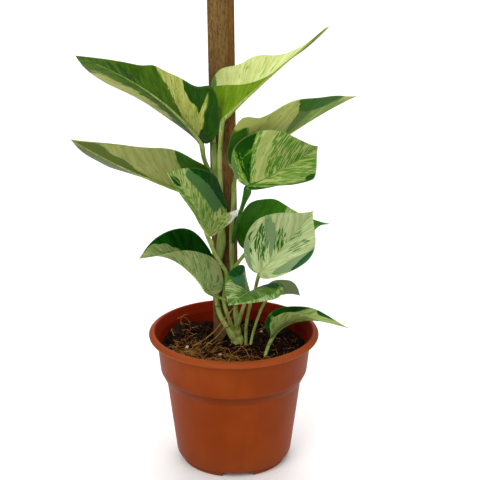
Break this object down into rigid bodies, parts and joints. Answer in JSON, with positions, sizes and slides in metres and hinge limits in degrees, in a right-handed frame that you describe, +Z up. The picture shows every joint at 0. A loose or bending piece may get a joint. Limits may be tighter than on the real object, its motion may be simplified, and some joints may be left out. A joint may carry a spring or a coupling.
{
  "type": "potted manjula pothos",
  "caption": "Variegated pothos with large waved heart-shaped leaves, climbing a square wooden stake in a tapered plastic nursery pot filled with soil.",
  "frame": {"origin": "centre of the pot's base, on the surface it stands on", "axes": "+Z up along the pot and the stake, -Y towards the front, +X to the right seen from the front"},
  "size_m": [0.1898, 0.1237, 0.3601],
  "materials": {
    "pot": "terracotta-coloured injection-moulded polypropylene, satin",
    "soil": "dark moist potting mix with coir fibre",
    "stake": "sawn weathered hardwood",
    "stem": "smooth pale green living stem",
    "leaf": "semi-gloss living leaf, green marbled with cream"
  },
  "bodies": {
    "root": {"pot": "pot", "soil": "soil", "stake": "stake", "stem": "stem", "leaf_top_left": "leaf", "leaf_upper_left": "leaf", "leaf_centre_left": "leaf", "leaf_top_right": "leaf", "leaf_upper_right": "leaf", "leaf_right": "leaf", "leaf_dark_right": "leaf", "leaf_round_right": "leaf", "leaf_low_left": "leaf", "leaf_front": "leaf", "leaf_small_right": "leaf", "leaf_rim_right": "leaf"}
  },
  "joints": []
}
